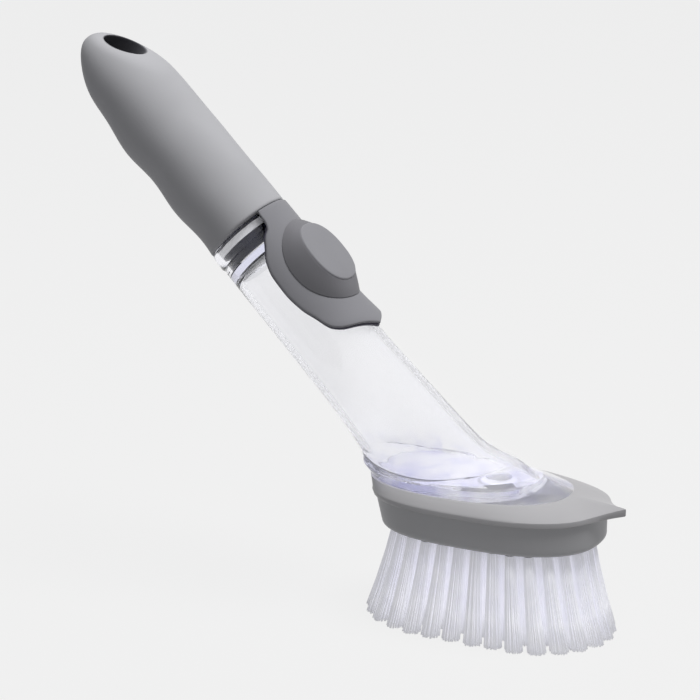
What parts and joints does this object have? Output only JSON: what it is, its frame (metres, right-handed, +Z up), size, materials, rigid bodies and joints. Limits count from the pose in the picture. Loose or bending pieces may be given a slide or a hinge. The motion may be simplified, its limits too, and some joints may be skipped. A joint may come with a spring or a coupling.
{
  "type": "dish wand",
  "caption": "Soap-dispensing dish wand: oval brush head below a slanted clear reservoir with a hinged filler lid, a pump button and a grip with a hang hole.",
  "frame": {"origin": "on the surface the brush stands on, below the middle of the brush block", "axes": "+X towards the pointed tip of the head, +Z up, and the handle rises towards -X in the plane Y = 0"},
  "size_m": [0.2127, 0.0554, 0.1975],
  "materials": {
    "grip_rubber": "matt soft-touch grey",
    "lid_rubber": "matt soft-touch grey",
    "button_rubber": "matt soft-touch grey",
    "inner_plastic": "plain moulded",
    "frame_plastic": "satin moulded",
    "silicone": "translucent",
    "clear_plastic": "clear and polished",
    "deck_plastic": "satin moulded",
    "block_plastic": "satin moulded",
    "bristle": "white nylon"
  },
  "bodies": {
    "handle": {"grip_sleeve": "grip_rubber", "handle_core": "inner_plastic", "neck_seal": "silicone", "reservoir": "clear_plastic", "reservoir_base": "clear_plastic", "outlet_valve": "silicone", "valve_ring": "inner_plastic", "spigot_seal": "silicone", "hinge_strap": "lid_rubber"},
    "lid": {"lid_cover": "lid_rubber", "lid_frame": "frame_plastic", "lid_plug": "frame_plastic", "lid_seal": "silicone", "button_skirt": "button_rubber"},
    "button": {"pump_button": "button_rubber"},
    "head": {"head_deck": "deck_plastic", "brush_block": "block_plastic", "bristles_outer": "bristle", "bristles_middle": "bristle", "bristles_inner": "bristle"}
  },
  "joints": [
    {"name": "lid_hinge", "type": "hinge", "parent": "handle", "child": "lid", "pos_m": [-0.08479, 0, 0.13881], "axis": [0, -1, 0], "range_deg": [0, 105], "deforming": ["hinge_strap"]},
    {"name": "button_press", "type": "slide", "parent": "lid", "child": "button", "axis": [-0.7071, 0, -0.7071], "range_m": [0, 0.002], "stiffness_N_per_m": 2500, "deforming": ["button_skirt"]},
    {"name": "head_release", "type": "slide", "parent": "head", "child": "handle", "axis": [0, 0, 1], "range_m": [0, 0.015]}
  ]
}
